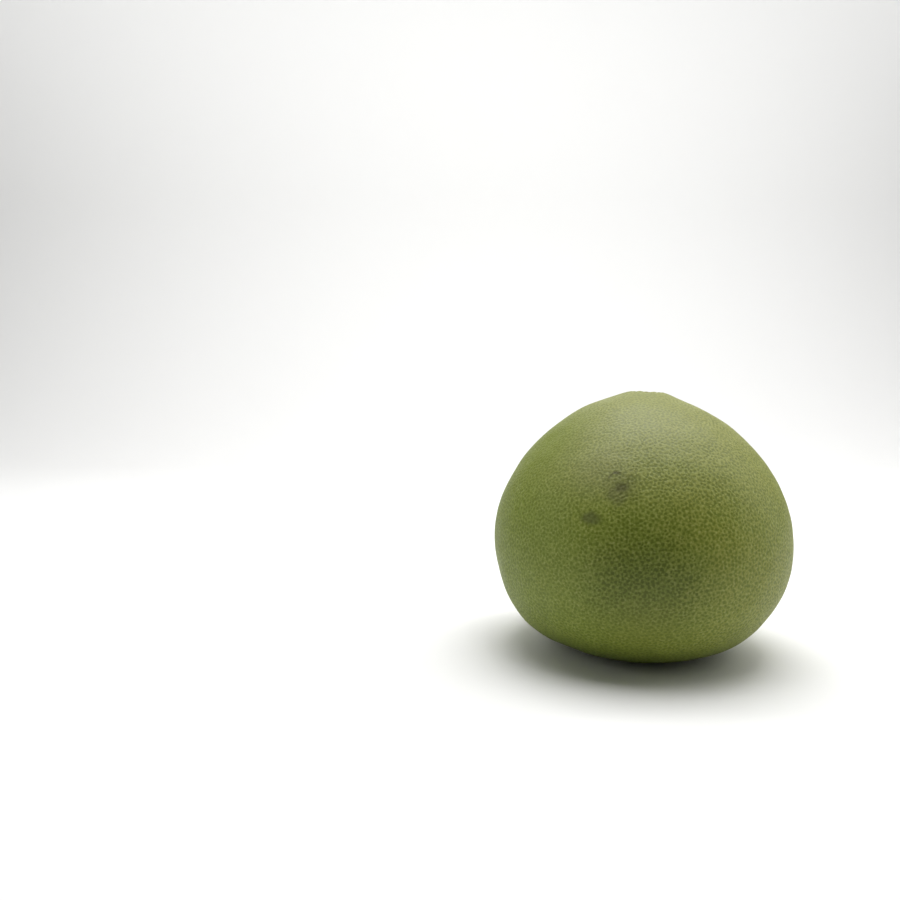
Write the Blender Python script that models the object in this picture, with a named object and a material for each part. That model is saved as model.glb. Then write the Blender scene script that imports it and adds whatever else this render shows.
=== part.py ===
"""A whole pomelo standing on its blossom end, as it lies on a table.

Metres, +Z up, -Y is the front. The origin is on the table, under the middle of the fruit's box.
The fruit grew as one piece, so its rind, pits, stem hollow and resting spot are one solid.
The button is the dried calyx with its stub of clipped stalk, which sits in the stem hollow.
"""

import math

import bmesh
import bpy
import numpy as np
from mathutils import Matrix, Vector
from numpy.polynomial.legendre import legval

MM = 0.001

# The rind's form: a ball of this mean radius, whose radius changes with the height of the direction
MEAN_RADIUS = 83.1 * MM
SQUAT = -0.074
NECK = 0.064
SHOULDER = -0.012
BLOSSOM = 0.015
LEAN = 0.008

# Soft swellings and dents of the rind: azimuth from +X and height angle, in degrees, rise, spread in degrees
SWELLINGS = (
    (0, 81, 0.7 * MM, 6),
    (65, 80, 0.6 * MM, 8),
    (270, 82, 0.5 * MM, 7),
    (350, 69, -1.0 * MM, 9),
    (180, 76, -0.5 * MM, 8),
    (172, 23, -0.4 * MM, 10),
    (180, -12, -0.6 * MM, 10),
    (196, -35, 1.2 * MM, 9),
    (212, -52, -0.7 * MM, 9),
    (328, -30, -0.4 * MM, 10),
    (262, 12, -0.5 * MM, 17),
    (305, 38, 0.5 * MM, 15),
    (95, 20, 0.7 * MM, 16),
    (60, -15, -0.8 * MM, 18),
    (125, 50, -0.6 * MM, 14),
)

# Where the fruit rests: how far its weight flattens it, and the soft edge of the flat spot
TABLE_PRESS = 0.8 * MM
REST_EDGE = 0.3 * MM

# The hollow at the stem end: a flat floor, a soft wavy rim that stands proud, and folds that run out from it
STEM_X = 4 * MM
HOLLOW_FLOOR_RADIUS = 5.6 * MM
HOLLOW_RIM_RADIUS = 9.5 * MM
HOLLOW_DEPTH = 3.6 * MM
RIM_LIFT = 0.45 * MM
RIM_WAVE = 0.05
FOLDS = 7
FOLD_RISE = 0.3 * MM
FOLD_REACH = 7 * MM

# The scar at the blossom end, in the middle of the resting spot
SCAR_RADIUS = 5 * MM
SCAR_DEPTH = 1 * MM

# The oil-gland pits, larger than life. They and the net between them vary by shares of the full depth.
GLANDS = 1500
GLAND_DEPTH = 0.8 * MM
PIT_SHARES = (0.55, 1)
NET_SHARES = (0, 0.3)
GLAND_JITTER = 0.35
GLAND_SETTLING = 3
GLAND_FADE = 1.2 * MM
GLAND_SEED = 11

# Rings of points that shape the hollow and the scar, as radius and count
HOLLOW_RINGS = (
    (2.9 * MM, 7),
    (HOLLOW_FLOOR_RADIUS, 16),
    (7.2 * MM, 21),
    (8.6 * MM, 21),
    (10 * MM, 21),
    (12 * MM, 21),
    (14.5 * MM, 16),
)
SCAR_RINGS = (
    (2.4 * MM, 6),
    (SCAR_RADIUS, 9),
)
RING_CLEARANCE = 3.5 * MM

# The button in the hollow
GAP = 0.3 * MM
CALYX_RADIUS = 4.55 * MM
CALYX_THICK = 0.9 * MM
CALYX_LOBES = 5
LOBE_SHARE = 0.2
STUB_RADIUS = 2.7 * MM
BUTTON_HEIGHT = 2.9 * MM
STUB_DIP = 0.25 * MM
BUTTON_STEPS = 40

RIND_COLOUR = (0.17, 0.21, 0.04)
BUTTON_COLOUR = (0.13, 0.095, 0.045)


def smooth_step(share):
    """Goes softly from 0 to 1 as share does, and stays level outside."""
    inside = np.clip(share, 0, 1)
    return inside**2 * (3 - 2 * inside)


def direction(azimuth, height):
    """The unit direction at an azimuth from +X and a height angle, in degrees."""
    level = math.cos(math.radians(height))
    across = math.radians(azimuth)
    return np.array((level * math.cos(across), level * math.sin(across), math.sin(math.radians(height))))


def rind_reach(ways):
    """How far the smooth rind lies from the fruit's middle, along unit directions."""
    x, _, z = ways.T
    reach = MEAN_RADIUS * legval(z, (1, 0, SQUAT, NECK, SHOULDER, BLOSSOM))
    reach += MEAN_RADIUS * LEAN * x * z * (1 + z) / 2
    for azimuth, height, rise, spread in SWELLINGS:
        apart = 1 - ways @ direction(azimuth, height)
        reach += rise * np.exp(-apart / (1 - math.cos(math.radians(spread))))
    return reach


def middle_height():
    """How high the fruit's middle stands above the table, once the underside is pressed flat."""
    return MEAN_RADIUS * legval(-1, (1, 0, SQUAT, NECK, SHOULDER, BLOSSOM)) - TABLE_PRESS


def top_height():
    """The level that the rind would reach over the stem's axis without its hollow."""
    way = Vector((STEM_X, 0, MEAN_RADIUS)).normalized()
    return rind_reach(np.array([way]))[0] * way.z + middle_height()


def flatten_on_table(heights):
    """Lays what would sink into the table on it, with a soft turn at the edge of the flat spot."""
    turn = (heights + REST_EDGE)**2 / (4 * REST_EDGE)
    return np.where(heights <= -REST_EDGE, 0, np.where(heights < REST_EDGE, turn, heights))


def sink_stem_hollow(points):
    """Sinks the stem hollow into the top and raises the folds round it."""
    x = points[:, 0] - STEM_X
    y = points[:, 1]
    radius = np.hypot(x, y)
    above = points[:, 2] > middle_height()
    folds = np.cos(FOLDS * np.arctan2(y, x))
    near_rim = np.exp(-((radius - HOLLOW_RIM_RADIUS) / FOLD_REACH)**2)
    folded = points[:, 2] + above * near_rim * (RIM_LIFT - FOLD_RISE * folds)
    rim = HOLLOW_RIM_RADIUS * (1 + RIM_WAVE * folds)
    wall = (radius - HOLLOW_FLOOR_RADIUS) / (rim - HOLLOW_FLOOR_RADIUS)
    sunk = above * (1 - smooth_step(wall))
    points[:, 2] = folded + sunk * (top_height() - HOLLOW_DEPTH - folded)


def sink_scar(points):
    """Dimples the middle of the resting spot."""
    radius = np.hypot(points[:, 0], points[:, 1])
    below = points[:, 2] < middle_height()
    points[:, 2] += below * SCAR_DEPTH * (1 - smooth_step(radius / SCAR_RADIUS))


def rind_points(ways, sunk):
    """The rind along unit directions, sunk by each one's share of a pit, but smooth where it rests."""
    reach = rind_reach(ways)
    off_table = smooth_step((ways[:, 2] * reach + middle_height()) / GLAND_FADE)
    points = ways * (reach - off_table * sunk * GLAND_DEPTH)[:, None]
    points[:, 2] = flatten_on_table(points[:, 2] + middle_height())
    sink_stem_hollow(points)
    sink_scar(points)
    return points


def scatter_ways(count, seed):
    """Unit directions spread over a ball at even distances but in no pattern."""
    rank = np.arange(count) + 0.5
    height = 1 - 2 * rank / count
    turn = rank * math.pi * (3 - math.sqrt(5))
    level = np.sqrt(1 - height**2)
    ways = np.column_stack((level * np.cos(turn), level * np.sin(turn), height))
    spacing = math.sqrt(4 * math.pi / count)
    ways += np.random.default_rng(seed).normal(0, GLAND_JITTER * spacing, ways.shape)
    return ways / np.linalg.norm(ways, axis=1)[:, None]


def ring_ways(rings, centre_x, side):
    """Directions to rings of points round an end of the fruit, and to the point in their middle."""
    depth = rind_reach(np.array([(0, 0, side)]))[0] * side
    places = [(centre_x, 0, depth)]
    for row, (radius, count) in enumerate(rings):
        for step in range(count):
            turn = math.tau * (step + row / 2) / count
            places.append((centre_x + radius * math.cos(turn), radius * math.sin(turn), depth))
    return np.array([Vector(place).normalized() for place in places])


def clear_of_rings(ways, rings, centre_x, side):
    """Which directions stay clear of the rings at one end of the fruit."""
    places = ways * rind_reach(ways)[:, None]
    radius = np.hypot(places[:, 0] - centre_x, places[:, 1])
    return (radius > rings[-1][0] + RING_CLEARANCE) | (ways[:, 2] * side < 0)


def hull_mesh(ways):
    """A closed mesh of triangles between unit directions, and its vertices in the same order."""
    mesh = bmesh.new()
    corners = [mesh.verts.new(way) for way in ways]
    bmesh.ops.convex_hull(mesh, input=corners)
    return mesh, corners


def settle_ways(ways, fixed):
    """Moves each direction, but the fixed ones at the end, half way to the middle of its neighbours."""
    mesh, corners = hull_mesh(np.vstack((ways, fixed)))
    free = corners[:len(ways)]
    bmesh.ops.smooth_vert(mesh, verts=free, factor=0.5, use_axis_x=True, use_axis_y=True, use_axis_z=True)
    settled = np.array([vert.co.normalized() for vert in free])
    mesh.free()
    return settled


def glands_mesh():
    """A unit ball with a vertex at every gland, ringed by the corners of the raised net round it.

    Returns the mesh, its gland vertices, and those of the smooth rings at its two ends.
    """
    glands = scatter_ways(GLANDS, GLAND_SEED)
    glands = glands[clear_of_rings(glands, HOLLOW_RINGS, STEM_X, 1)]
    glands = glands[clear_of_rings(glands, SCAR_RINGS, 0, -1)]
    rings = np.vstack((ring_ways(HOLLOW_RINGS, STEM_X, 1), ring_ways(SCAR_RINGS, 0, -1)))
    for _ in range(GLAND_SETTLING):
        glands = settle_ways(glands, rings)

    mesh, corners = hull_mesh(np.vstack((glands, rings)))
    pits = set(corners[:len(glands)])
    pitted = [face for face in mesh.faces if pits.intersection(face.verts)]
    bmesh.ops.poke(mesh, faces=pitted)
    between = [edge for edge in mesh.edges if pits.issuperset(edge.verts)]
    bmesh.ops.rotate_edges(mesh, edges=between, use_ccw=False)
    return mesh, pits, set(corners).difference(pits)


def centre_offset(points):
    """How far the middle of the fruit's box lies from the fruit's own axis."""
    return (points.max(axis=0)[:2] + points.min(axis=0)[:2]) / 2


def add_object(name, mesh, colour, roughness):
    """Makes a finished bmesh an object with a material of its own."""
    bmesh.ops.recalc_face_normals(mesh, faces=mesh.faces)
    data = bpy.data.meshes.new(name)
    mesh.to_mesh(data)
    mesh.free()
    data.shade_smooth()
    material = bpy.data.materials.new(name)
    material.use_nodes = True
    shader = material.node_tree.nodes["Principled BSDF"]
    shader.inputs["Base Color"].default_value = (*colour, 1)
    shader.inputs["Roughness"].default_value = roughness
    data.materials.append(material)
    thing = bpy.data.objects.new(name, data)
    bpy.context.collection.objects.link(thing)
    return thing


def add_fruit():
    """Builds the fruit and returns how far it was moved to stand over the origin."""
    mesh, pits, smooth = glands_mesh()
    chance = np.random.default_rng(GLAND_SEED)
    sunk = []
    for vert in mesh.verts:
        shares = PIT_SHARES if vert in pits else NET_SHARES
        sunk.append(0 if vert in smooth else chance.uniform(*shares))
    ways = np.array([vert.co.normalized() for vert in mesh.verts])
    points = rind_points(ways, np.array(sunk))
    offset = centre_offset(points)
    points[:, :2] -= offset
    for vert, point in zip(mesh.verts, points):
        vert.co = point
    add_object("fruit", mesh, RIND_COLOUR, 0.4)
    return offset


def spin_outline(outline, steps):
    """Turns an outline of (radius, height) points once round the Z axis into a closed body."""
    mesh = bmesh.new()
    corners = [mesh.verts.new((radius, 0, height)) for radius, height in outline]
    edges = [mesh.edges.new(pair) for pair in zip(corners, corners[1:])]
    bmesh.ops.spin(
        mesh, geom=corners + edges, axis=(0, 0, 1), cent=(0, 0, 0), angle=math.tau, steps=steps,
        use_merge=True)
    bmesh.ops.remove_doubles(mesh, verts=mesh.verts, dist=0.01 * MM)
    return mesh


def add_button(offset):
    """The dried calyx, with lobes round it, and the stub of stalk that stands in its middle."""
    outline = (
        (0, 0),
        (0.6 * CALYX_RADIUS, 0),
        (0.93 * CALYX_RADIUS, 0),
        (CALYX_RADIUS, 0.4 * CALYX_THICK),
        (0.94 * CALYX_RADIUS, 0.8 * CALYX_THICK),
        (0.75 * CALYX_RADIUS, CALYX_THICK),
        (1.15 * STUB_RADIUS, 1.3 * CALYX_THICK),
        (STUB_RADIUS, 1.7 * CALYX_THICK),
        (STUB_RADIUS, BUTTON_HEIGHT - 0.3 * MM),
        (0.85 * STUB_RADIUS, BUTTON_HEIGHT),
        (0.4 * STUB_RADIUS, BUTTON_HEIGHT - STUB_DIP),
        (0, BUTTON_HEIGHT - STUB_DIP),
    )
    mesh = spin_outline(outline, BUTTON_STEPS)
    for vert in mesh.verts:
        radius = math.hypot(vert.co.x, vert.co.y)
        turn = math.atan2(vert.co.y, vert.co.x)
        outer = float(smooth_step((radius - STUB_RADIUS) / (CALYX_RADIUS - STUB_RADIUS)))
        grow = 1 + LOBE_SHARE * outer * math.cos(CALYX_LOBES * turn)
        vert.co.x *= grow
        vert.co.y *= grow
    floor = top_height() - HOLLOW_DEPTH
    place = Vector((STEM_X - offset[0], -offset[1], floor + GAP))
    bmesh.ops.transform(mesh, matrix=Matrix.Translation(place), verts=mesh.verts)
    add_object("stem_button", mesh, BUTTON_COLOUR, 0.85)


def main():
    for thing in list(bpy.data.objects):
        bpy.data.objects.remove(thing)
    offset = add_fruit()
    add_button(offset)


main()
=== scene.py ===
"""The looks of a whole pomelo: a rind of real oil-gland pits, a dried stem button and a plain pale studio.

Metres, +Z up, -Y is the front. The rind follows the same form as the solid that it stands for.
"""

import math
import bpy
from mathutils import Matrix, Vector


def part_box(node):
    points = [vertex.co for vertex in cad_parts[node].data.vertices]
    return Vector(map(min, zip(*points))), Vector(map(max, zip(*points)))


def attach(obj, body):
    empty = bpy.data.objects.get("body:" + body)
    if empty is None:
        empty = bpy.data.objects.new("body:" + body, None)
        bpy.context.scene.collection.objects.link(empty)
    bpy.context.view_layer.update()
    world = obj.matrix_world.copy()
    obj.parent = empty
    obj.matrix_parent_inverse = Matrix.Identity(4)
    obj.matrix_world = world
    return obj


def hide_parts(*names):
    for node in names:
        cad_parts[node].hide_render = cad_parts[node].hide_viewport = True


bl_info = {
    "name": "Pomelo",
    "version": (1, 0, 0),
    "blender": (4, 5, 0),
    "location": "3D View > Sidebar > Pomelo",
    "description": "Grows a whole pomelo with its pitted rind and its stem button, in a plain studio",
    "category": "Object",
}

import bmesh
import bpy
import numpy as np
from mathutils import Vector, kdtree, noise
from mathutils.geometry import delaunay_2d_cdt
from numpy.polynomial.legendre import legval

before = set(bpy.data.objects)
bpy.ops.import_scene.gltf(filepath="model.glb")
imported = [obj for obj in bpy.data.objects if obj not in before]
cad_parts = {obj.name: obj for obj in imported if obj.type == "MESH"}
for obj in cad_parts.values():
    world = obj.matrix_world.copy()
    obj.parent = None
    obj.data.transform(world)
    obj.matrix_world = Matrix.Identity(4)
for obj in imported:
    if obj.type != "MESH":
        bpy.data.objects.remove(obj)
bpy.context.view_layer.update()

MM = 0.001
FRUIT_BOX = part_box("fruit")
BUTTON_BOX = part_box("stem_button")

# The rind's form: a ball of this mean radius, whose radius changes with the height of the direction
MEAN_RADIUS = 83.1 * MM
SQUAT = -0.074
NECK = 0.064
SHOULDER = -0.012
BLOSSOM = 0.015
LEAN = 0.008

# Soft swellings and dents of the rind: azimuth from +X and height angle, in degrees, rise, spread in degrees
SWELLINGS = (
    (0, 81, 0.7 * MM, 6),
    (65, 80, 0.6 * MM, 8),
    (270, 82, 0.5 * MM, 7),
    (350, 69, -1.0 * MM, 9),
    (180, 76, -0.5 * MM, 8),
    (172, 23, -0.4 * MM, 10),
    (180, -12, -0.6 * MM, 10),
    (196, -35, 1.2 * MM, 9),
    (212, -52, -0.7 * MM, 9),
    (328, -30, -0.4 * MM, 10),
    (262, 12, -0.5 * MM, 17),
    (305, 38, 0.5 * MM, 15),
    (95, 20, 0.7 * MM, 16),
    (60, -15, -0.8 * MM, 18),
    (125, 50, -0.6 * MM, 14),
)

# Where the fruit rests: how far its weight flattens it, and the soft edge of the flat spot
TABLE_PRESS = 0.8 * MM
REST_EDGE = 0.3 * MM

# The hollow at the stem end: a flat floor, a soft wavy rim that stands proud, and folds that run out from it
STEM_X = 4 * MM
HOLLOW_FLOOR_RADIUS = 5.6 * MM
HOLLOW_RIM_RADIUS = 9.5 * MM
HOLLOW_DEPTH = 3.6 * MM
RIM_LIFT = 0.45 * MM
RIM_WAVE = 0.05
FOLDS = 7
FOLD_RISE = 0.3 * MM
FOLD_REACH = 7 * MM

# Fine wrinkles that run down the hollow's wall and sway to each side
WRINKLES = 29
WRINKLE_RISE = 0.06 * MM
WRINKLE_RADIUS = 7.8 * MM
WRINKLE_REACH = 1.2 * MM
WRINKLE_SWAY = 3

# The scar at the blossom end, in the middle of the resting spot
SCAR_RADIUS = 5 * MM
SCAR_DEPTH = 1 * MM

# The fine round meshes over the hollow and the scar, which have no glands
HOLLOW_REACH = 11 * MM
SCAR_REACH = 6.5 * MM
FINE_SPACING = 0.8 * MM

# How the glands are spread, the least share of the full depth and size that a pit has, and its rim
GLAND_JITTER = 0.35
GLAND_SETTLING = 4
GLAND_SEED = 11
LEAST_DEPTH_SHARE = 0.6
NEIGHBOURS = 7
RIM_SIDES = 5
LEAST_RIM_SHARE = 0.86
RIM_SHARE = 0.93
RIM_STRETCH = 1.3
RIM_LARGEST = 1.25 * MM
LEAST_FACING = 1e-6
MERGE_DISTANCE = 1e-9

# Low waves of the rind between its large form and its pits
WAVE_COUNT = 40
WAVE_LENGTHS = (7 * MM, 32 * MM)
WAVE_RISE = 0.035 * MM
WAVE_SEED = 5

# Marks on the front of the rind: places as an azimuth from +X and a height angle, in degrees, and sizes
CURL = (247.6, 27.6)
CURL_RADIUS = 3.4 * MM
CURL_WIDTH = 1.2 * MM
KNOT = (250.3, 24.4)
KNOT_REACH = 5.4 * MM
KNOT_SQUASH = 1.7
HALO_REACH = 13 * MM
HALO_RAGGED = 9 * MM
SCRAPE = (248.6, 21.2)
SCRAPE_REACH = 7 * MM
SCRAPE_RAGGED = 5 * MM
STROKE_SPACING = 2 * MM
SMUDGE = (240.0, 12.6)
SMUDGE_REACH = 7.2 * MM
SMUDGE_SQUASH = 1.4

# Regions of another colour, each an azimuth from +X and a height angle, in degrees, and how far it reaches;
# all are painted light or shade rather than the rind's own colour
# Painted shade: a darker belt on the front, where the light is weakest
PAINTED_SHADE_CHEEK = (259.2, -9, 46 * MM)
# Painted sheen: a paler grey patch on the upper left
PAINTED_SHEEN_PATCH = (240.4, 31, 24 * MM)
# Painted shade: a greener, darker shoulder where the rind reflects little light
SHADED_SHOULDER = (192, 41, 46 * MM)
# Painted light: a paler belt low on the front, where light bounces up from the floor
PAINTED_BOUNCE_BELT = (260, -27, 34 * MM)

# The heights between which the foot grows dark with painted shade and the top grows pale with painted sheen
SHADED_FOOT_HEIGHTS = (22 * MM, 6 * MM)
PAINTED_SHEEN_HEIGHTS = (80 * MM, 145 * MM)

# How large the lumps of the rind's noises are
BROAD_SIZE = 60 * MM
MOTTLE_SIZE = 9 * MM
EDGE_SIZE = 4 * MM
WORM_SIZE = 1.15 * MM
FINE_SIZE = 0.5 * MM

# How high the rind's bump is
WORM_BUMP = 0.13 * MM
FINE_BUMP = 0.05 * MM
GLAND_BUMP = 0.05 * MM

# The button in the hollow: a lobed calyx with veins and crinkles, and a fluted stub with a ringed cut
CALYX_RADIUS = 4.55 * MM
CALYX_THICK = 0.9 * MM
CALYX_LOBES = 5
LOBE_SHARE = 0.2
VEIN_RISE = 0.16 * MM
CRINKLE_RISE = 0.14 * MM
STUB_RADIUS = 2.7 * MM
STUB_DIP = 0.25 * MM
FLUTES = 9
FLUTE_SHARE = 0.03
LUMP_SIZE = 0.9 * MM
CUT_RING = 0.5 * MM
CUT_RING_RISE = 0.03 * MM
CUT_GRAIN = 0.4 * MM
CUT_GRAIN_RISE = 0.06 * MM
PITH_RADIUS = 0.4 * MM
BUTTON_STEPS = 60
BUTTON_CUTS = 3
BUTTON_SEED = Vector((3.1, 7.7, 1.3))

# How large the lumps of the button's noises are, and how high its bump is
BARK_GRAIN = 0.45 * MM
BARK_BLOTCH = 1.8 * MM
BARK_BUMP = 0.12 * MM

# Where the button's axis meets the hollow's floor, its height, and the middle of the scar
BUTTON_LOW, BUTTON_HIGH = BUTTON_BOX
STEM_FOOT = (
    BUTTON_HIGH.x - CALYX_RADIUS * (1 + LOBE_SHARE),
    (BUTTON_LOW.y + BUTTON_HIGH.y) / 2,
    BUTTON_LOW.z,
)
BUTTON_HEIGHT = BUTTON_HIGH.z - BUTTON_LOW.z
SCAR_PLACE = (STEM_FOOT[0] - STEM_X, STEM_FOOT[1], SCAR_DEPTH)

# The brown stains on the rind, each a middle and a reach, and how ragged their edges are
STAINS = ((STEM_FOOT, 10 * MM), (SCAR_PLACE, 7 * MM))
STAIN_RAGGED = 4 * MM

# The camera: level with the fruit's top and left of it, with a lens of 800 pixels for a 900 pixel frame
LENS = 32
SENSOR = 36
CAMERA_PLACE = (-112.4 * MM, -474.0 * MM, 148.7 * MM)
CAMERA_DIP = 3.86
NEAREST_SEEN = 10 * MM

# The floor that sweeps up into the backdrop
FLOOR_REACH = 1.8
FLOOR_FRONT = 0.9
BACKDROP_PLACE = 1.8
BACKDROP_BEND = 0.7
BACKDROP_TALL = 3.0
BEND_STEPS = 16
FLOOR_ROUGHNESS = 0.7

# The softboxes that face the fruit: name, place, width and height
SOFTBOXES = (
    ("top", (0.05, 0.1, 1.5), (1.1, 1.1)),
    ("corner", (0.8, 0, 1.2), (0.9, 0.9)),
    ("right", (1.4, 0.1, 0.6), (1.0, 1.0)),
    ("left", (-1.4, -0.1, 0.6), (1.0, 1.0)),
)


def smooth_step(share):
    """Goes softly from 0 to 1 as share does, and stays level outside."""
    inside = np.clip(share, 0, 1)
    return inside**2 * (3 - 2 * inside)


def direction(azimuth, height):
    """The unit direction at an azimuth from +X and a height angle, in degrees."""
    level = math.cos(math.radians(height))
    across = math.radians(azimuth)
    return np.array((level * math.cos(across), level * math.sin(across), math.sin(math.radians(height))))


def rind_reach(ways):
    """How far the smooth rind lies from the fruit's middle, along unit directions."""
    x, _, z = ways.T
    reach = MEAN_RADIUS * legval(z, (1, 0, SQUAT, NECK, SHOULDER, BLOSSOM))
    reach += MEAN_RADIUS * LEAN * x * z * (1 + z) / 2
    for azimuth, height, rise, spread in SWELLINGS:
        apart = 1 - ways @ direction(azimuth, height)
        reach += rise * np.exp(-apart / (1 - math.cos(math.radians(spread))))
    return reach


def middle_height():
    """How high the fruit's middle stands above the table, once the underside is pressed flat."""
    return MEAN_RADIUS * legval(-1, (1, 0, SQUAT, NECK, SHOULDER, BLOSSOM)) - TABLE_PRESS


def top_height():
    """The level that the rind would reach over the stem's axis without its hollow."""
    way = Vector((STEM_X, 0, MEAN_RADIUS)).normalized()
    return rind_reach(np.array([way]))[0] * way.z + middle_height()


def flatten_on_table(heights):
    """Lays what would sink into the table on it, with a soft turn at the edge of the flat spot."""
    turn = (heights + REST_EDGE)**2 / (4 * REST_EDGE)
    return np.where(heights <= -REST_EDGE, 0, np.where(heights < REST_EDGE, turn, heights))


def sink_stem_hollow(points):
    """Sinks the stem hollow into the top, with the folds round it and fine wrinkles down its wall."""
    x = points[:, 0] - STEM_X
    y = points[:, 1]
    radius = np.hypot(x, y)
    turn = np.arctan2(y, x)
    above = points[:, 2] > middle_height()
    folds = np.cos(FOLDS * turn)
    near_rim = np.exp(-((radius - HOLLOW_RIM_RADIUS) / FOLD_REACH)**2)
    folded = points[:, 2] + above * near_rim * (RIM_LIFT - FOLD_RISE * folds)
    rim = HOLLOW_RIM_RADIUS * (1 + RIM_WAVE * folds)
    wall = (radius - HOLLOW_FLOOR_RADIUS) / (rim - HOLLOW_FLOOR_RADIUS)
    sunk = above * (1 - smooth_step(wall))
    points[:, 2] = folded + sunk * (top_height() - HOLLOW_DEPTH - folded)
    on_wall = above * np.exp(-((radius - WRINKLE_RADIUS) / WRINKLE_REACH)**2)
    sway = WRINKLE_SWAY * np.sin(FOLDS * turn + radius / MM)
    points[:, 2] += on_wall * WRINKLE_RISE * np.sin(WRINKLES * turn + sway)


def sink_scar(points):
    """Dimples the middle of the resting spot."""
    radius = np.hypot(points[:, 0], points[:, 1])
    below = points[:, 2] < middle_height()
    points[:, 2] += below * SCAR_DEPTH * (1 - smooth_step(radius / SCAR_RADIUS))


def skin_waves(ways):
    """The low waves of the rind along unit directions, as a sum of waves that run every way."""
    chance = np.random.default_rng(WAVE_SEED)
    rise = np.zeros(len(ways))
    for _ in range(WAVE_COUNT):
        heading = chance.normal(size=3)
        length = chance.uniform(*WAVE_LENGTHS)
        steps = ways @ (heading / np.linalg.norm(heading)) * math.tau * MEAN_RADIUS / length
        rise += WAVE_RISE * (length / WAVE_LENGTHS[1]) * np.sin(steps + chance.uniform(0, math.tau))
    return rise


def rind_points(ways, sunk):
    """The rind along unit directions, sunk by a depth at each."""
    points = ways * (rind_reach(ways) + skin_waves(ways) - sunk)[:, None]
    points[:, 2] = flatten_on_table(points[:, 2] + middle_height())
    sink_stem_hollow(points)
    sink_scar(points)
    return points


def unit_rows(rows):
    """Rows of numbers, each made one long."""
    return rows / np.linalg.norm(rows, axis=1)[:, None]


def scatter_ways(count, seed):
    """Unit directions spread over a ball at even distances but in no pattern."""
    rank = np.arange(count) + 0.5
    height = 1 - 2 * rank / count
    turn = rank * math.pi * (3 - math.sqrt(5))
    level = np.sqrt(1 - height**2)
    ways = np.column_stack((level * np.cos(turn), level * np.sin(turn), height))
    spacing = math.sqrt(4 * math.pi / count)
    return unit_rows(ways + np.random.default_rng(seed).normal(0, GLAND_JITTER * spacing, ways.shape))


def disc_ways(centre_x, reach, side):
    """Directions to a fine round mesh of points at one end of the fruit."""
    depth = rind_reach(np.array([(0, 0, side)]))[0] * side
    places = [(centre_x, 0, depth)]
    for row in range(1, int(reach / FINE_SPACING) + 1):
        radius = row * FINE_SPACING
        count = round(math.tau * row)
        for step in range(count):
            turn = math.tau * (step + row / 2) / count
            places.append((centre_x + radius * math.cos(turn), radius * math.sin(turn), depth))
    return unit_rows(np.array(places))


def clear_of_disc(ways, centre_x, reach, side):
    """Which directions stay clear of the fine mesh at one end of the fruit."""
    places = ways * rind_reach(ways)[:, None]
    radius = np.hypot(places[:, 0] - centre_x, places[:, 1])
    return (radius > reach + RIM_LARGEST) | (ways[:, 2] * side < 0)


def ball_mesh(ways):
    """Joins unit directions into a closed mesh of the evenest triangles; the last is the lower pole.

    Seen from the lower pole, circles on the ball are circles on a plane, so the plane's
    evenest triangles are the ball's. A hull gives the same, but rounds off this many points.
    """
    pole = len(ways) - 1
    flat = ways[:pole, :2] / (1 + ways[:pole, 2:])
    found = delaunay_2d_cdt([Vector(place) for place in flat], [], [], 0, MERGE_DISTANCE, True)
    faces = found[2]
    origins = [sources[0] for sources in found[3]]
    mesh = bmesh.new()
    corners = [mesh.verts.new(way) for way in ways]
    for face in faces:
        mesh.faces.new([corners[origins[corner]] for corner in face])
    for edge in [edge for edge in mesh.edges if edge.is_boundary]:
        mesh.faces.new((*edge.verts, corners[pole]))
    bmesh.ops.recalc_face_normals(mesh, faces=mesh.faces)
    return mesh, corners


def settle_ways(ways, fixed):
    """Moves each direction, but the fixed ones, half way to the middle of its neighbours."""
    mesh, corners = ball_mesh(np.vstack((ways, fixed)))
    free = corners[:len(ways)]
    bmesh.ops.smooth_vert(mesh, verts=free, factor=0.5, use_axis_x=True, use_axis_y=True, use_axis_z=True)
    settled = np.array([vert.co for vert in free])
    mesh.free()
    return unit_rows(settled)


def neighbour_gaps(glands):
    """The steps from each gland to its nearest neighbours."""
    tree = kdtree.KDTree(len(glands))
    for index, way in enumerate(glands):
        tree.insert(way, index)
    tree.balance()
    nearest = [[found[1] for found in tree.find_n(way, NEIGHBOURS + 1)[1:]] for way in glands]
    return glands[np.array(nearest)] - glands[:, None]


def rim_turns(count, chance):
    """The angles of each gland's rim corners, from a start of its own."""
    return chance.uniform(0, math.tau, count)[:, None] + np.arange(RIM_SIDES) * math.tau / RIM_SIDES


def rim_ways(glands, turns, sizes):
    """Directions to the rim's corners round each gland, most of the way to its neighbours' rims."""
    across = unit_rows(np.cross(glands, (0, 0, 1)))
    along = np.cross(glands, across)
    spokes = np.cos(turns)[..., None] * across[:, None] + np.sin(turns)[..., None] * along[:, None]
    gaps = neighbour_gaps(glands)
    facing = np.einsum("gsx,gnx->gsn", spokes, gaps)
    half_way = (gaps**2).sum(axis=2)[:, None] / 2
    reach = RIM_SHARE * (half_way / np.maximum(facing, LEAST_FACING)).min(axis=2) * sizes[:, None]
    reach = np.minimum(reach, RIM_STRETCH * reach.min(axis=1)[:, None])
    reach = np.minimum(reach, RIM_LARGEST / MEAN_RADIUS)
    return unit_rows((glands[:, None] + reach[..., None] * spokes).reshape(-1, 3))


def fit_to_box(points, box):
    """Stretches points by the little that makes them fill a box exactly."""
    low, high = points.min(axis=0), points.max(axis=0)
    box_low, box_high = np.array(box[0]), np.array(box[1])
    return box_low + (points - low) * (box_high - box_low) / (high - low)


def crinkle(points, size):
    """Noise from -1 to 1 at points, in lumps of about a size."""
    return np.array([noise.noise(Vector(point) / size + BUTTON_SEED) for point in points])


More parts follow.
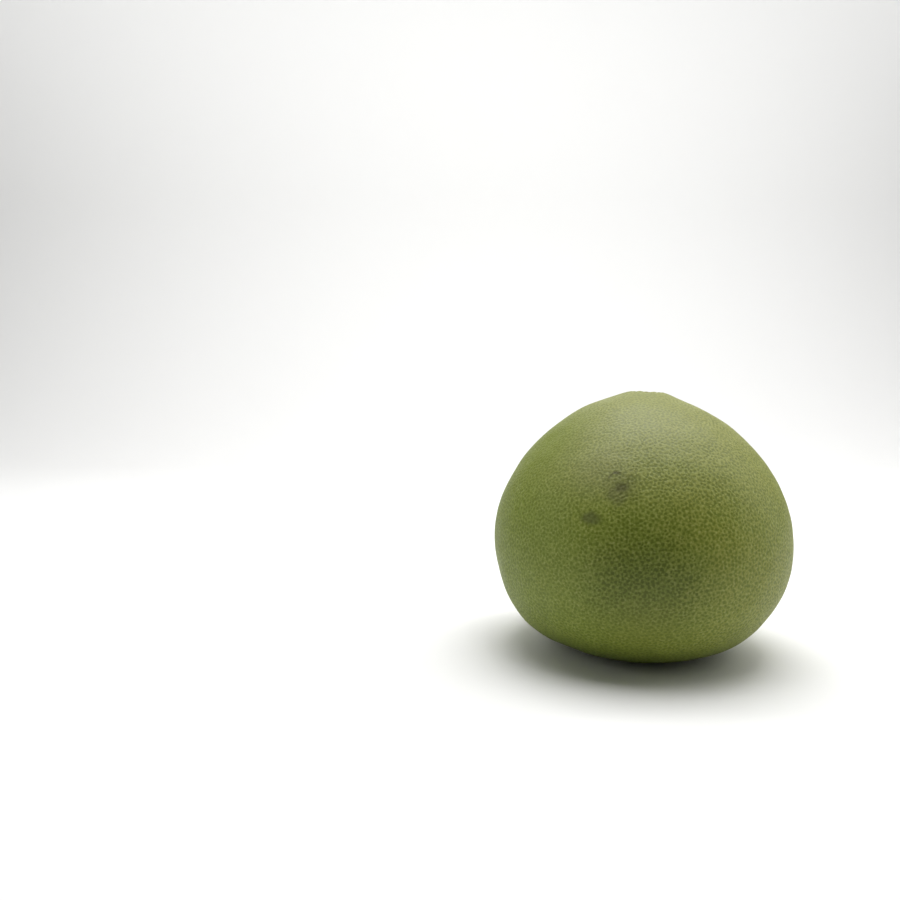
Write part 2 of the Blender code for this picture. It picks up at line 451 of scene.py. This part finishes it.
def dried_button(points):
    """Draws the calyx out in veined, crinkled lobes, flutes the stub and roughens its ringed cut."""
    turn = np.arctan2(points[:, 1], points[:, 0])
    across = np.hypot(points[:, 0], points[:, 1])
    height = points[:, 2]
    outer = smooth_step((across - STUB_RADIUS) / (CALYX_RADIUS - STUB_RADIUS))
    lobes = np.cos(CALYX_LOBES * turn)
    upper = smooth_step(height / CALYX_THICK)
    standing = smooth_step(height / CALYX_THICK - 1) * smooth_step(2 * across / STUB_RADIUS - 1)
    rough = crinkle(points, LUMP_SIZE)
    on_cut = (height > BUTTON_HEIGHT / 2) * (1 - smooth_step((across / STUB_RADIUS - 0.75) * 8))
    rings = np.cos(across * math.tau / CUT_RING) - 5 * np.exp(-(across / PITH_RADIUS)**2)

    lift = outer * upper * (VEIN_RISE * np.maximum(lobes, 0)**3 + CRINKLE_RISE * rough)
    lift += on_cut * (CUT_RING_RISE * rings + CUT_GRAIN_RISE * crinkle(points, CUT_GRAIN))
    flutes = np.cos(FLUTES * turn + 2 * np.sin(2 * turn)) + rough
    grow = 1 + LOBE_SHARE * outer * lobes + FLUTE_SHARE * standing * flutes
    return np.column_stack((points[:, 0] * grow, points[:, 1] * grow, height + lift))


def add_piece(name, mesh, material, node):
    """Makes a bmesh a smooth object that stands for a CAD node."""
    data = bpy.data.meshes.new(name)
    mesh.to_mesh(data)
    mesh.free()
    data.shade_smooth()
    data.materials.append(material)
    piece = bpy.data.objects.new(name, data)
    bpy.context.collection.objects.link(piece)
    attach(piece, "root")
    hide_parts(node)
    return piece


def mark_glands(data, gland_count, turns, chances):
    """Stores at each face corner where it lies in its gland's pit, and the gland's own chance.

    A place in a pit is two steps across it and one outwards: all are 0 at its middle, and the
    last is 1 all along its rim and on the skin between the pits.
    """
    corners = np.empty(len(data.loops), int)
    data.loops.foreach_get("vertex_index", corners)
    corners = corners.reshape(-1, 3)
    face_glands = corners.min(axis=1)
    in_pit = face_glands < gland_count
    face_glands = np.where(in_pit, face_glands, 0)

    rim_index = corners - gland_count
    on_rim = in_pit[:, None] & (rim_index >= 0)
    angle = turns.reshape(-1)[np.clip(rim_index, 0, turns.size - 1)]
    outside = ~in_pit[:, None]
    offsets = np.zeros((len(corners), 3, 3))
    offsets[..., 0] = np.where(on_rim, np.cos(angle), outside)
    offsets[..., 1] = np.where(on_rim, np.sin(angle), 0)
    offsets[..., 2] = on_rim | outside
    store = data.attributes.new("gland_place", "FLOAT_VECTOR", "CORNER")
    store.data.foreach_set("vector", offsets.reshape(-1).astype(np.float32))

    share = np.where(in_pit, chances[face_glands], 0.5)
    store = data.attributes.new("gland_chance", "FLOAT", "CORNER")
    store.data.foreach_set("value", np.repeat(share, 3).astype(np.float32))


class Value:
    """A number, place or colour that comes out of a material's node, with the maths that materials use."""

    def __init__(self, nodes, socket):
        self.nodes = nodes
        self.socket = socket

    def __add__(self, other):
        return self.nodes.maths("ADD", self, other)

    def __sub__(self, other):
        return self.nodes.maths("SUBTRACT", self, other)

    def __rsub__(self, other):
        return self.nodes.maths("SUBTRACT", other, self)

    def __mul__(self, other):
        return self.nodes.maths("MULTIPLY", self, other)

    def __pow__(self, other):
        return self.nodes.maths("POWER", self, other)

    def __rpow__(self, other):
        return self.nodes.maths("POWER", other, self)

    __radd__ = __add__
    __rmul__ = __mul__


def with_alpha(colour):
    """A colour as a shader's socket takes it; one that comes out of a node stays as it is."""
    return colour if isinstance(colour, Value) else (*colour, 1)


class Nodes:
    """A new material and the ways that its nodes are made."""

    def __init__(self, name):
        self.material = bpy.data.materials.new(name)
        self.material.use_nodes = True
        self.tree = self.material.node_tree
        self.shader = self.tree.nodes["Principled BSDF"]

    def connect(self, socket, value):
        """Sets a socket to a plain value or links it to another node's."""
        if isinstance(value, Value):
            self.tree.links.new(value.socket, socket)
        else:
            socket.default_value = value

    def node(self, kind, settings=None, values=None, output=0):
        """Adds a node, with its settings first and then its sockets' values or links."""
        made = self.tree.nodes.new(kind)
        for name, setting in (settings or {}).items():
            setattr(made, name, setting)
        for name, value in (values or {}).items():
            self.connect(made.inputs[name], value)
        return Value(self, made.outputs[output])

    def maths(self, operation, *values):
        """The result of a sum or a function on numbers."""
        return self.node("ShaderNodeMath", {"operation": operation}, dict(enumerate(values)))

    def place(self):
        """The place on the object, in metres."""
        return self.node("ShaderNodeTexCoord", output="Object")

    def noise(self, place, size, detail, roughness=0.55):
        """Soft noise whose lumps are about a size across."""
        values = {"Vector": place, "Scale": 1 / size, "Detail": detail, "Roughness": roughness}
        return self.node("ShaderNodeTexNoise", values=values, output="Fac")

    def parts(self, place):
        """The three numbers of a place."""
        node = self.node("ShaderNodeSeparateXYZ", values={0: place}).socket.node
        return [Value(self, output) for output in node.outputs]

    def ease(self, value, start, end, low=0.0, high=1.0):
        """Takes a value softly from low at start to high at end."""
        values = {"Value": value, "From Min": start, "From Max": end, "To Min": low, "To Max": high}
        return self.node("ShaderNodeMapRange", {"interpolation_type": "SMOOTHSTEP"}, values)

    def blend(self, share, first, second, way="MIX"):
        """Mixes two colours by a share."""
        settings = {"data_type": "RGBA", "blend_type": way}
        values = {0: share, 6: with_alpha(first), 7: with_alpha(second)}
        return self.node("ShaderNodeMix", settings, values, output=2)

    def lay_over(self, colour, layers):
        """Lays tints over a colour in turn, each by a share and in a way."""
        for share, tint, way in layers:
            colour = self.blend(share, colour, tint, way)
        return colour

    def away_from(self, place, point):
        """How far a place lies from a point."""
        settings = {"operation": "DISTANCE"}
        return self.node("ShaderNodeVectorMath", settings, {0: place, 1: point}, output="Value")

    def finish(self, colour, roughness, height, strength, **constants):
        """Feeds the shader with what varies, and sets what doesn't."""
        normal = self.node("ShaderNodeBump", values={"Strength": strength, "Distance": 1, "Height": height})
        self.connect(self.shader.inputs["Base Color"], colour)
        self.connect(self.shader.inputs["Roughness"], roughness)
        self.connect(self.shader.inputs["Normal"], normal)
        for name, value in constants.items():
            self.shader.inputs[name.replace("_", " ")].default_value = value
        return self.material


def surface_point(azimuth, height):
    """The place on the rind along a direction from the fruit's middle."""
    way = direction(azimuth, height)
    point = way * rind_reach(np.array([way]))[0]
    return (point[0], point[1], point[2] + middle_height())


def mark(nodes, away, reach, ragged, edge):
    """A soft spot on the rind whose outline is made ragged by noise."""
    return nodes.ease(away + (edge - 0.5) * ragged, reach, reach * 0.3)


def scuffed(nodes, place, colour, look):
    """The curled scuff and the smudge below it on the front, laid over a colour."""
    edge = nodes.noise(place, EDGE_SIZE, detail=4, roughness=0.6)
    sideways, inwards, upwards = nodes.parts(place)
    slope = (upwards * 0.9 - sideways * 0.42) * (math.tau / STROKE_SPACING) + (edge - 0.5) * 9
    strokes = nodes.ease(nodes.maths("SINE", slope), -0.2, 0.9)

    middle = surface_point(*CURL)
    off_curl = nodes.maths("ABSOLUTE", nodes.away_from(place, middle) - CURL_RADIUS)
    ring = nodes.ease(off_curl + (edge - 0.5) * (2 * CURL_WIDTH), CURL_WIDTH, CURL_WIDTH / 6)
    towards_upper_left = (upwards - middle[2]) * 1.3 - (sideways - middle[0]) * 0.7
    arc = ring * nodes.ease(towards_upper_left, 0.5 * MM, 3 * MM)

    def flat_mark(spot, squash, reach):
        """A ragged mark that is wider than it is tall."""
        x, y, z = surface_point(*spot)
        from_x, from_y, from_z = sideways - x, inwards - y, (upwards - z) * squash
        away = (from_x * from_x + from_y * from_y + from_z * from_z)**0.5
        return mark(nodes, away, reach, reach * 0.85, edge)

    knot = flat_mark(KNOT, KNOT_SQUASH, KNOT_REACH)
    smudge = flat_mark(SMUDGE, SMUDGE_SQUASH, SMUDGE_REACH)
    scrape = mark(
        nodes, nodes.away_from(place, surface_point(*SCRAPE)), SCRAPE_REACH, SCRAPE_RAGGED, edge)
    halo = mark(nodes, nodes.away_from(place, surface_point(*KNOT)), HALO_REACH, HALO_RAGGED, edge)
    return nodes.lay_over(colour, (
        (halo * 0.26, look.scuff, "MIX"),
        (arc * 0.7, look.scuff, "MIX"),
        (scrape * strokes * 0.4, look.scuff, "MIX"),
        (scrape * (1 - strokes) * 0.22, look.bloom_and_sheen, "MIX"),
        (knot * 0.6, look.scuff, "MIX"),
        (smudge * 0.65, look.smudge, "MIX"),
    ))


def near_region(nodes, place, region):
    """A share that fades out from the middle of a region of the rind."""
    azimuth, height, reach = region
    return nodes.ease(nodes.away_from(place, surface_point(azimuth, height)), reach, reach * 0.1)


def rind_material(look):
    """The waxy rind: dark glands and the pale ridges between them, scuffs, and regions of other greens that
    are painted shade, painted sheen and painted bounce light.
    """
    nodes = Nodes("rind")
    place = nodes.place()
    along, across, outwards = nodes.parts(
        nodes.node("ShaderNodeAttribute", {"attribute_name": "gland_place"}, output="Vector"))
    chance = nodes.node("ShaderNodeAttribute", {"attribute_name": "gland_chance"}, output="Fac")
    round_reach = (along * along + across * across)**0.5
    from_gland = round_reach + (outwards - round_reach) * outwards**4

    broad = nodes.noise(place, BROAD_SIZE, detail=2)
    mottle = nodes.noise(place, MOTTLE_SIZE, detail=3)
    worm = nodes.noise(place, WORM_SIZE, detail=1)
    fine = nodes.noise(place, FINE_SIZE, detail=3)

    sideways, _, upwards = nodes.parts(place)
    yellow = nodes.ease(broad * 0.5 + sideways * 3 + upwards * 2 + mottle * 0.3, 0.25, 0.95)
    net = nodes.blend(yellow, look.green, look.yellow)

    # Painted shade on the front's belt, which also makes the glands there stronger
    painted_shade = near_region(nodes, place, PAINTED_SHADE_CHEEK)
    contrast = 0.8 + painted_shade * 0.4
    depth = (1 - from_gland) * nodes.ease(chance, 0.0, 1.0, 0.5, 0.85)
    field = depth + (0.5 - worm) * 1.3 + (0.5 - fine) * 0.9
    dark = nodes.ease(field, -0.2, 0.5)
    colour = nodes.lay_over(net, (
        (nodes.ease(field, 0.02, -0.4) * contrast * 0.5, look.ridge, "MIX"),
        (dark * contrast, look.gland, "MIX"),
        (painted_shade, look.painted_shade, "MULTIPLY"),
        # Painted bounce light low on the front
        (near_region(nodes, place, PAINTED_BOUNCE_BELT) * 0.2, look.yellow, "MIX"),
        # Painted shade near the table
        (nodes.ease(upwards, *SHADED_FOOT_HEIGHTS), look.foot, "MULTIPLY"),
        # Painted sheen over the top
        (nodes.ease(upwards, *PAINTED_SHEEN_HEIGHTS, 0.0, 0.36), look.bloom_and_sheen, "MIX"),
        # Painted sheen on the upper left
        (near_region(nodes, place, PAINTED_SHEEN_PATCH) * 0.25, look.bloom_and_sheen, "MIX"),
        # Painted shade on the left shoulder, greener where it reflects little light
        (near_region(nodes, place, SHADED_SHOULDER) * 0.65, look.shaded_shoulder, "MIX"),
    ))
    colour = scuffed(nodes, place, colour, look)
    for spot, reach in STAINS:
        away = nodes.away_from(place, spot) + (mottle - 0.5) * STAIN_RAGGED
        colour = nodes.blend(nodes.ease(away, reach, reach * 0.4) * 0.8, colour, look.stain)

    roughness = 0.52 + mottle * 0.1 - dark * 0.08
    height = fine * FINE_BUMP + worm * WORM_BUMP - dark * GLAND_BUMP
    return nodes.finish(
        colour, roughness, height, 1.0, Specular_IOR_Level=0.2, Coat_Weight=0.2, Coat_Roughness=0.4,
        Subsurface_Weight=0.05, Subsurface_Radius=(0.002, 0.0016, 0.0006), Subsurface_Scale=1.0)


def button_material(look):
    """The dried button: an olive calyx with dry tips, brown bark, and a pale cut with rings and a pith."""
    nodes = Nodes("stem_button")
    place = nodes.place()
    sideways, inwards, upwards = nodes.parts(place)
    off_x = sideways - STEM_FOOT[0]
    off_y = inwards - STEM_FOOT[1]
    across = (off_x * off_x + off_y * off_y)**0.5
    height = upwards - STEM_FOOT[2]
    grain = nodes.noise(place, BARK_GRAIN, detail=4, roughness=0.65)
    blotch = nodes.noise(place, BARK_BLOTCH, detail=3)

    ragged = across + (blotch - 0.5) * (2 * MM)
    tips = nodes.ease(ragged, 0.75 * CALYX_RADIUS, 1.15 * CALYX_RADIUS, 0.0, 0.7)
    calyx = nodes.blend(tips, look.calyx, look.dry)
    bark = nodes.blend(nodes.ease(blotch, 0.4, 0.6), look.bark, look.dry)
    colour = nodes.blend(nodes.ease(height, 1.1 * CALYX_THICK, 1.7 * CALYX_THICK), calyx, bark)

    rings = (across + (blotch - 0.5) * (0.4 * MM)) * (math.tau / CUT_RING)
    pith = nodes.ease(across, 1.75 * PITH_RADIUS, 0.875 * PITH_RADIUS, 0.0, 0.8)
    cut = nodes.blend(nodes.ease(nodes.maths("SINE", rings), -0.6, 0.9) * 0.4, look.cut, bark)
    cut = nodes.blend(pith, cut, look.bark)
    inside = nodes.ease(across + (grain - 0.5) * (0.5 * MM), 0.92 * STUB_RADIUS, 0.8 * STUB_RADIUS)
    on_cut = inside * nodes.ease(height, BUTTON_HEIGHT - 0.7 * MM, BUTTON_HEIGHT - 0.45 * MM)
    colour = nodes.blend(on_cut, colour, cut)
    colour = nodes.blend(nodes.ease(grain, 0.5, 0.3) * 0.6, colour, look.crease)
    return nodes.finish(colour, 0.72 + grain * 0.2, grain * BARK_BUMP, 1.0, Specular_IOR_Level=0.3)


class PomeloRindLook(bpy.types.PropertyGroup):
    """The glands and colours of the rind."""

    glands: bpy.props.IntProperty(
        name="Glands", description="How many oil glands the rind has", default=16000, min=100, max=16300)
    gland_depth: bpy.props.FloatProperty(
        name="Gland depth", description="How deep the middle of a gland's pit is", default=0.36 * MM,
        unit="LENGTH", precision=5)
    green: bpy.props.FloatVectorProperty(
        name="Green", description="The greener skin between the glands", default=(0.222, 0.278, 0.042),
        subtype="COLOR", size=3)
    yellow: bpy.props.FloatVectorProperty(
        name="Yellow", description="The yellower skin between the glands", default=(0.298, 0.312, 0.054),
        subtype="COLOR", size=3)
    scuff: bpy.props.FloatVectorProperty(
        name="Scuff", description="The brown-grey scuff", default=(0.07, 0.068, 0.02),
        subtype="COLOR", size=3)
    smudge: bpy.props.FloatVectorProperty(
        name="Smudge", description="The dark grey smudge", default=(0.075, 0.085, 0.025),
        subtype="COLOR", size=3)
    stain: bpy.props.FloatVectorProperty(
        name="Stain", description="The brown tinge round the button and the scar", default=(0.16, 0.12, 0.04),
        subtype="COLOR", size=3)
    # Painted sheen on the top and the upper left, and the pale bloom between the scrape's strokes
    bloom_and_sheen: bpy.props.FloatVectorProperty(
        name="Bloom", description="The thin grey bloom", default=(0.29, 0.285, 0.145),
        subtype="COLOR", size=3)
    # Painted shade: what the front's belt is darkened by
    painted_shade: bpy.props.FloatVectorProperty(
        name="Cheek", description="What the darker cheek multiplies the colour by",
        default=(0.66, 0.68, 0.55), subtype="COLOR", size=3)
    # Painted shade: what the rind near the table is darkened by
    foot: bpy.props.FloatVectorProperty(
        name="Foot", description="What the underside multiplies the colour by", default=(0.8, 0.82, 0.75),
        subtype="COLOR", size=3)
    ridge: bpy.props.FloatVectorProperty(
        name="Ridge", description="The palest ridges of skin between the glands", default=(0.40, 0.42, 0.16),
        subtype="COLOR", size=3)
    # Painted shade: the greener colour of the left shoulder, where it reflects little light
    shaded_shoulder: bpy.props.FloatVectorProperty(
        name="Shoulder", description="The greenest skin, on the left shoulder", default=(0.16, 0.205, 0.004),
        subtype="COLOR", size=3)
    gland: bpy.props.FloatVectorProperty(
        name="Gland", description="The dark oil glands", default=(0.117, 0.152, 0.009),
        subtype="COLOR", size=3)


class PomeloButtonLook(bpy.types.PropertyGroup):
    """The colours of the stem button."""

    bark: bpy.props.FloatVectorProperty(
        name="Bark", description="The dried stalk", default=(0.105, 0.078, 0.042), subtype="COLOR", size=3)
    calyx: bpy.props.FloatVectorProperty(
        name="Calyx", description="The dried calyx", default=(0.115, 0.105, 0.036), subtype="COLOR", size=3)
    dry: bpy.props.FloatVectorProperty(
        name="Dry", description="The driest bark and lobe tips", default=(0.22, 0.165, 0.085),
        subtype="COLOR", size=3)
    cut: bpy.props.FloatVectorProperty(
        name="Cut", description="The cut end of the stalk", default=(0.42, 0.33, 0.18),
        subtype="COLOR", size=3)
    crease: bpy.props.FloatVectorProperty(
        name="Crease", description="The dark grain and creases", default=(0.05, 0.036, 0.018),
        subtype="COLOR", size=3)


class PomeloStudio(bpy.types.PropertyGroup):
    """The lights and the floor."""

    top_power: bpy.props.FloatProperty(
        name="Top light", description="Power of the softbox overhead", default=20, unit="POWER")
    corner_power: bpy.props.FloatProperty(
        name="Corner light", description="Power of the softbox high on the right", default=3.8, unit="POWER")
    right_power: bpy.props.FloatProperty(
        name="Right light", description="Power of the softbox on the right", default=4.9, unit="POWER")
    left_power: bpy.props.FloatProperty(
        name="Left light", description="Power of the softbox on the left", default=3.4, unit="POWER")
    backdrop_power: bpy.props.FloatProperty(
        name="Backdrop light", description="Power of the softbox on the backdrop", default=36, unit="POWER")
    sky: bpy.props.FloatProperty(
        name="Room light", description="How much light the room round the studio gives", default=0.03)
    seen_room: bpy.props.FloatProperty(
        name="Seen room", description="How bright the room round the studio looks", default=1.0)
    floor: bpy.props.FloatVectorProperty(
        name="Floor", description="The pale floor and backdrop", default=(0.84, 0.84, 0.83),
        subtype="COLOR", size=3)


def settled_glands(count, discs):
    """Directions to the glands, clear of the fine round meshes and settled between them."""
    glands = scatter_ways(count, GLAND_SEED)
    glands = glands[clear_of_disc(glands, STEM_X, HOLLOW_REACH, 1)]
    glands = glands[clear_of_disc(glands, 0, SCAR_REACH, -1)]
    for _ in range(GLAND_SETTLING):
        glands = settle_ways(glands, discs)
    return glands


class POMELO_OT_rind(bpy.types.Operator):
    """Grow the fruit with its pitted rind, stem hollow and resting spot"""

    bl_idname = "pomelo.rind"
    bl_label = "Grow the rind"

    def execute(self, context):
        look = context.scene.pomelo_rind
        discs = np.vstack((disc_ways(STEM_X, HOLLOW_REACH, 1), disc_ways(0, SCAR_REACH, -1)[::-1]))
        glands = settled_glands(look.glands, discs)
        chance = np.random.default_rng(GLAND_SEED)
        chances = chance.uniform(0, 1, len(glands))
        turns = rim_turns(len(glands), chance)
        sizes = LEAST_RIM_SHARE + (1 - LEAST_RIM_SHARE) * chances
        ways = np.vstack((glands, rim_ways(glands, turns, sizes), discs))
        mesh, _ = ball_mesh(ways)

        sunk = np.zeros(len(ways))
        sunk[:len(glands)] = look.gland_depth * (LEAST_DEPTH_SHARE + (1 - LEAST_DEPTH_SHARE) * chances)
        points = fit_to_box(rind_points(ways, sunk), FRUIT_BOX)
        for vert, point in zip(mesh.verts, points):
            vert.co = point
        piece = add_piece("pomelo_rind", mesh, rind_material(look), "fruit")
        mark_glands(piece.data, len(glands), turns, chances)
        return {"FINISHED"}


def button_outline():
    """Half the button's section, from the middle of its foot round to the middle of its cut."""
    return (
        (0, 0),
        (0.6 * CALYX_RADIUS, 0),
        (0.93 * CALYX_RADIUS, 0),
        (CALYX_RADIUS, 0.4 * CALYX_THICK),
        (0.94 * CALYX_RADIUS, 0.8 * CALYX_THICK),
        (0.75 * CALYX_RADIUS, CALYX_THICK),
        (1.15 * STUB_RADIUS, 1.3 * CALYX_THICK),
        (STUB_RADIUS, 1.7 * CALYX_THICK),
        (STUB_RADIUS, BUTTON_HEIGHT - 0.3 * MM),
        (0.85 * STUB_RADIUS, BUTTON_HEIGHT),
        (0.4 * STUB_RADIUS, BUTTON_HEIGHT - STUB_DIP),
        (0, BUTTON_HEIGHT - STUB_DIP),
    )


class POMELO_OT_button(bpy.types.Operator):
    """Add the dried calyx and the stub of stalk in the stem hollow"""

    bl_idname = "pomelo.button"
    bl_label = "Add the stem button"

    def execute(self, context):
        look = context.scene.pomelo_button
        mesh = bmesh.new()
        corners = [mesh.verts.new((across, 0, height)) for across, height in button_outline()]
        edges = [mesh.edges.new(pair) for pair in zip(corners, corners[1:])]
        bmesh.ops.spin(
            mesh, geom=corners + edges, axis=(0, 0, 1), cent=(0, 0, 0), angle=math.tau, steps=BUTTON_STEPS,
            use_merge=True)
        bmesh.ops.remove_doubles(mesh, verts=mesh.verts, dist=0.01 * MM)
        bmesh.ops.subdivide_edges(mesh, edges=mesh.edges, cuts=BUTTON_CUTS, use_grid_fill=True)
        bmesh.ops.recalc_face_normals(mesh, faces=mesh.faces)
        points = fit_to_box(dried_button(np.array([vert.co for vert in mesh.verts])), BUTTON_BOX)
        for vert, point in zip(mesh.verts, points):
            vert.co = point
        add_piece("pomelo_button", mesh, button_material(look), "stem_button")
        return {"FINISHED"}


def add_softbox(name, place, target, size, power):
    """A softbox of a width and height that faces a target."""
    light = bpy.data.lights.new(name, "AREA")
    light.shape = "RECTANGLE"
    light.size, light.size_y = size
    light.energy = power
    softbox = bpy.data.objects.new(name, light)
    softbox.location = place
    softbox.rotation_euler = (Vector(target) - softbox.location).to_track_quat("-Z", "Y").to_euler()
    bpy.context.collection.objects.link(softbox)


def add_floor(colour):
    """The floor, which bends up into the backdrop far behind the fruit."""
    mesh = bmesh.new()
    start = BACKDROP_PLACE - BACKDROP_BEND
    outline = [(-FLOOR_FRONT, 0), (start, 0)]
    for step in range(1, BEND_STEPS + 1):
        bend = math.pi / 2 * step / BEND_STEPS
        outline.append((start + BACKDROP_BEND * math.sin(bend), BACKDROP_BEND * (1 - math.cos(bend))))
    outline.append((BACKDROP_PLACE, BACKDROP_TALL))
    corners = [mesh.verts.new((-FLOOR_REACH, y, z)) for y, z in outline]
    edges = [mesh.edges.new(pair) for pair in zip(corners, corners[1:])]
    swept = bmesh.ops.extrude_edge_only(mesh, edges=edges)
    moved = [item for item in swept["geom"] if isinstance(item, bmesh.types.BMVert)]
    bmesh.ops.translate(mesh, verts=moved, vec=(2 * FLOOR_REACH, 0, 0))
    bmesh.ops.recalc_face_normals(mesh, faces=mesh.faces)
    data = bpy.data.meshes.new("floor")
    mesh.to_mesh(data)
    mesh.free()
    data.shade_smooth()
    nodes = Nodes("floor")
    nodes.shader.inputs["Base Color"].default_value = with_alpha(colour)
    nodes.shader.inputs["Roughness"].default_value = FLOOR_ROUGHNESS
    data.materials.append(nodes.material)
    floor = bpy.data.objects.new("floor", data)
    bpy.context.collection.objects.link(floor)


def add_camera():
    """The camera at the photo's place and angle."""
    lens = bpy.data.cameras.new("camera")
    lens.lens = LENS
    lens.sensor_width = SENSOR
    lens.clip_start = NEAREST_SEEN
    camera = bpy.data.objects.new("camera", lens)
    camera.location = CAMERA_PLACE
    camera.rotation_euler = (math.radians(90 - CAMERA_DIP), 0, 0)
    bpy.context.collection.objects.link(camera)
    bpy.context.scene.camera = camera


def pale_room(studio):
    """A room that gives little light of its own, but is seen as pale as the backdrop."""
    world = bpy.data.worlds.new("pale_room")
    world.use_nodes = True
    tree = world.node_tree
    light = tree.nodes["Background"]
    light.inputs["Color"].default_value = (1, 1, 1, 1)
    light.inputs["Strength"].default_value = studio.sky
    seen = tree.nodes.new("ShaderNodeBackground")
    seen.inputs["Color"].default_value = with_alpha(studio.floor)
    seen.inputs["Strength"].default_value = studio.seen_room
    mix = tree.nodes.new("ShaderNodeMixShader")
    path = tree.nodes.new("ShaderNodeLightPath")
    tree.links.new(path.outputs["Is Camera Ray"], mix.inputs["Fac"])
    tree.links.new(light.outputs["Background"], mix.inputs[1])
    tree.links.new(seen.outputs["Background"], mix.inputs[2])
    tree.links.new(mix.outputs["Shader"], tree.nodes["World Output"].inputs["Surface"])
    return world


class POMELO_OT_studio(bpy.types.Operator):
    """Set up the floor, the lights and the camera"""

    bl_idname = "pomelo.studio"
    bl_label = "Set up the studio"

    def execute(self, context):
        studio = context.scene.pomelo_studio
        add_floor(studio.floor)
        fruit = (0, 0, FRUIT_BOX[1].z / 2)
        for name, place, size in SOFTBOXES:
            add_softbox(f"{name}_softbox", place, fruit, size, getattr(studio, f"{name}_power"))
        backdrop = (0, BACKDROP_PLACE, 0.4)
        add_softbox("backdrop_softbox", (0, 0.7, 1.9), backdrop, (4.2, 0.6), studio.backdrop_power)
        context.scene.world = pale_room(studio)
        context.scene.view_settings.view_transform = "Standard"
        add_camera()
        return {"FINISHED"}


class POMELO_PT_sidebar(bpy.types.Panel):
    """Lists the pomelo's makers and their settings"""

    bl_idname = "POMELO_PT_sidebar"
    bl_label = "Pomelo"
    bl_space_type = "VIEW_3D"
    bl_region_type = "UI"
    bl_category = "Pomelo"

    def draw(self, context):
        for maker, settings in MAKERS:
            box = self.layout.box()
            box.operator(maker.bl_idname)
            for name in settings.__annotations__:
                box.prop(getattr(context.scene, PLACES[settings]), name)


MAKERS = (
    (POMELO_OT_rind, PomeloRindLook),
    (POMELO_OT_button, PomeloButtonLook),
    (POMELO_OT_studio, PomeloStudio),
)
PLACES = {
    PomeloRindLook: "pomelo_rind",
    PomeloButtonLook: "pomelo_button",
    PomeloStudio: "pomelo_studio",
}


def register():
    for settings, place in PLACES.items():
        bpy.utils.register_class(settings)
        setattr(bpy.types.Scene, place, bpy.props.PointerProperty(type=settings))
    for maker, _ in MAKERS:
        bpy.utils.register_class(maker)
    bpy.utils.register_class(POMELO_PT_sidebar)


def unregister():
    bpy.utils.unregister_class(POMELO_PT_sidebar)
    for maker, _ in MAKERS:
        bpy.utils.unregister_class(maker)
    for settings, place in PLACES.items():
        delattr(bpy.types.Scene, place)
        bpy.utils.unregister_class(settings)


def main():
    register()
    bpy.ops.pomelo.rind()
    bpy.ops.pomelo.button()
    bpy.ops.pomelo.studio()


if __name__ == "__main__":
    main()
